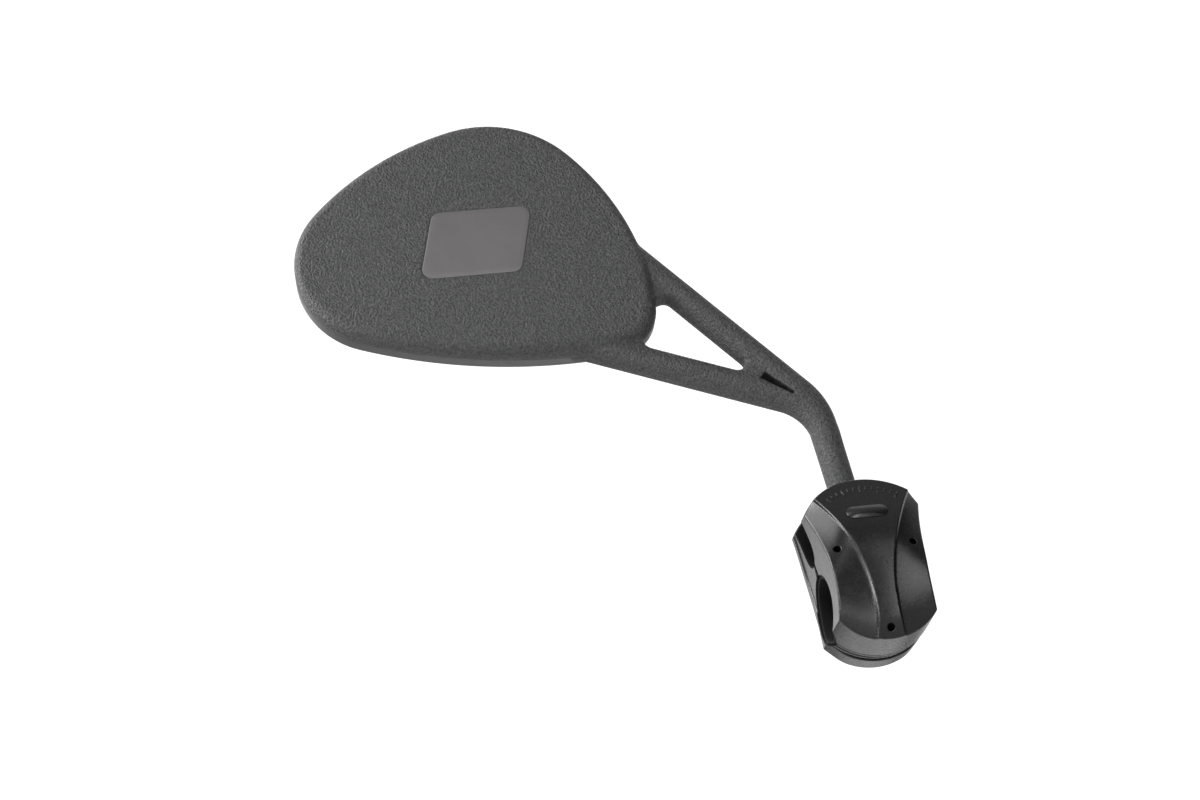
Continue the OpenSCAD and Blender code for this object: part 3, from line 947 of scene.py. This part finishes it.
def make_marks():
    """Plain swing scale near the top edge, a blank pad under it, and the small gate mark."""
    parts = []
    for k in range(-6, 7):
        angle = math.radians(90 - MARK_PITCH * k)
        length = 2.6 if k % 3 == 0 else 1.6
        r = MARK_ARC_R - length / 2
        parts.append(raised_mark(bar_outline(r * math.cos(angle), TOP_ARC[0] + r * math.sin(angle), angle,
                                             length, 0.6)))
    parts.append(raised_mark(bar_outline(0.0, 28.4, 0.0, 15.0, 5.2), height=0.3, bevel=0.2))
    parts.append(raised_mark([(2.3 + 0.55 * math.cos(t), 7.8 + 0.55 * math.sin(t))
                              for t in np.linspace(0, math.tau, 17)[:-1]], height=0.15))
    points, faces = merge(parts)
    new_object("clamp_marks", points, faces, CLAMP, "front_clamp")


def dress_cad_nodes():
    """Materials for the CAD nodes that keep their own shape."""
    finishes = {
        "glass_pad": FOAM,
        "swivel_ball": ACETAL,
        "stem_screw": STEEL,
        "spring_washer": STEEL,
        "front_ball_seat": ACETAL,
        "rear_ball_seat": ACETAL,
        "seat_cushion": RUBBER,
        "threaded_inserts": BRASS,
    }
    for node, material in finishes.items():
        mesh = frame["nodes"][node].data
        mesh.materials.clear()
        mesh.materials.append(material)


# ---------------------------------------------------------------- stage


BACK_GLOW = 1.2
FRONT_LEFT_GLOW = 0.38
FRONT_RIGHT_GLOW = 0.04
ZENITH_GLOW = 0.3
HORIZON_GLOW = 0.4
DIFFUSE_SHARE = 0.4
# Parts of the unit sphere over which the room's glow changes, along each axis
ROOM_SIDES = (0.3, -0.9)
ZENITH_BAND = (0.5, 0.9)
HORIZON_BAND = (0.02, 0.18)
BACKDROP_EDGE = (0.0, 0.3)
# Floor, in metres: its own glow grows with the distance from the object
FLOOR_Z = -0.27
FLOOR_HALF = 6.0
FLOOR_NEAR = 0.3
FLOOR_FAR = 2.5
FLOOR_NEAR_GLOW = 0.3


def make_floor():
    """Pale floor, below the farthest reach of the swinging arm. Only the camera sees its glow."""
    mesh = bpy.data.meshes.new("floor")
    corners = [(x * FLOOR_HALF, y * FLOOR_HALF, FLOOR_Z) for x, y in ((-1, -1), (1, -1), (1, 1), (-1, 1))]
    mesh.from_pydata(corners, [], [(0, 1, 2, 3)])
    material = bpy.data.materials.new("floor")
    n = Nodes(material)
    length = n.add("ShaderNodeVectorMath")
    length.operation = "LENGTH"
    n.set(length, 0, n.coords)
    fade = n.remap(length.outputs["Value"], FLOOR_NEAR, FLOOR_FAR, FLOOR_NEAR_GLOW, BACK_GLOW)
    seen = n.add("ShaderNodeLightPath").outputs["Is Camera Ray"]
    n.finish(Base_Color=n.mix(n.noise(300.0), grey(0.42), grey(0.47)), Roughness=0.8,
             Emission_Color=grey(1.0), Emission_Strength=n.math("MULTIPLY", fade, seen))
    mesh.materials.append(material)
    floor = bpy.data.objects.new("floor", mesh)
    bpy.context.scene.collection.objects.link(floor)


def make_light(name, place, target, size, power, spread=180):
    light = bpy.data.lights.new(name, "AREA")
    light.shape = "RECTANGLE"
    light.size, light.size_y = size
    light.energy = power
    light.spread = math.radians(spread)
    lamp = bpy.data.objects.new(name, light)
    lamp.location = place
    lamp.rotation_mode = "QUATERNION"
    lamp.rotation_quaternion = (Vector(target) - Vector(place)).to_track_quat("-Z", "Y")
    bpy.context.scene.collection.objects.link(lamp)


def make_world():
    """Studio: reflections see a white backdrop behind the object and a darker room in front of it.

    Diffuse rays see the same, dimmed, and the camera sees an even pale backdrop.
    """
    world = bpy.data.worlds.new("studio")
    bpy.context.scene.world = world
    world.use_nodes = True
    tree = world.node_tree
    tree.nodes.clear()

    def node(kind, **inputs):
        """Adds a node. Each input is named by an underscore and its number."""
        made = tree.nodes.new(kind)
        for i, value in inputs.items():
            socket = made.inputs[int(i[1:])]
            if isinstance(value, bpy.types.NodeSocket):
                tree.links.new(value, socket)
            else:
                socket.default_value = value
        return made.outputs[0]

    def ramp(value, low, high, to_low, to_high):
        return node("ShaderNodeMapRange", _0=value, _1=low, _2=high, _3=to_low, _4=to_high)

    direction = tree.nodes.new("ShaderNodeTexCoord").outputs["Generated"]
    x, y, z = tree.nodes.new("ShaderNodeSeparateXYZ").outputs
    tree.links.new(direction, x.node.inputs[0])
    left = ramp(x, *ROOM_SIDES, FRONT_RIGHT_GLOW, FRONT_LEFT_GLOW)
    above = ramp(z, *ZENITH_BAND, 0.0, ZENITH_GLOW)
    room = node("ShaderNodeMath", _0=left, _1=above)
    backdrop = ramp(z, *HORIZON_BAND, HORIZON_GLOW, BACK_GLOW)
    seen = node("ShaderNodeMix", _0=ramp(y, *BACKDROP_EDGE, 0.0, 1.0), _2=room, _3=backdrop)
    ray = tree.nodes.new("ShaderNodeLightPath").outputs
    share = ramp(ray["Is Diffuse Ray"], 0.0, 1.0, 1.0, DIFFUSE_SHARE)
    lit = node("ShaderNodeMath", _0=seen, _1=share)
    lit.node.operation = "MULTIPLY"
    glow = node("ShaderNodeMix", _0=ray["Is Camera Ray"], _2=lit, _3=BACK_GLOW)
    background = node("ShaderNodeBackground", _0=(1, 1, 1, 1), _1=glow)
    output = tree.nodes.new("ShaderNodeOutputWorld")
    tree.links.new(background, output.inputs[0])


def make_camera():
    """Camera below the clamp and a little to its left, looking up at the back of the head."""
    azimuth, elevation, roll = (math.radians(a) for a in (-7.1, -24.24, -8.33))
    target_in_view = Vector((96.09, 72.54, 704.8)) * MM
    back = Vector((math.sin(azimuth) * math.cos(elevation), -math.cos(azimuth) * math.cos(elevation),
                   math.sin(elevation)))
    right = (-back).cross(Vector((0, 0, 1))).normalized()
    up = right.cross(-back)
    tilted_right = right * math.cos(roll) + up * math.sin(roll)
    tilted_up = up * math.cos(roll) - right * math.sin(roll)
    turn = Matrix((tilted_right, tilted_up, back)).transposed()
    data = bpy.data.cameras.new("camera")
    data.sensor_width = 36.0
    data.lens = 59.9
    camera = bpy.data.objects.new("camera", data)
    offset = Vector((target_in_view.x, -target_in_view.y, -target_in_view.z))
    camera.matrix_world = Matrix.Translation(-(turn @ offset)) @ turn.to_4x4()
    bpy.context.scene.collection.objects.link(camera)
    bpy.context.scene.camera = camera


def make_stage():
    make_floor()
    make_world()
    make_camera()
    centre = (-0.08, 0.0, 0.09)
    make_light("key_box", (-0.89, -0.30, 0.72), centre, (1.1, 0.8), 12.5)
    make_light("front_box", (-0.04, -0.99, 0.10), (0.0, -0.02, 0.0), (0.34, 0.75), 4.9)
    make_light("side_strip", (-0.94, -0.10, 0.34), (0.0, -0.02, 0.0), (0.3, 0.5), 7.0)
    make_light("floor_box", (0.0, 0.9, 0.9), (0.1, 0.7, -0.27), (0.9, 0.6), 8.0, spread=75)
    scene = bpy.context.scene
    scene.view_settings.view_transform = "Standard"
    scene.view_settings.look = "None"


make_arm_shell()
make_inlay()
make_glass()
make_front_frame()
make_clamp()
make_screws()
make_marks()
dress_cad_nodes()
make_stage()
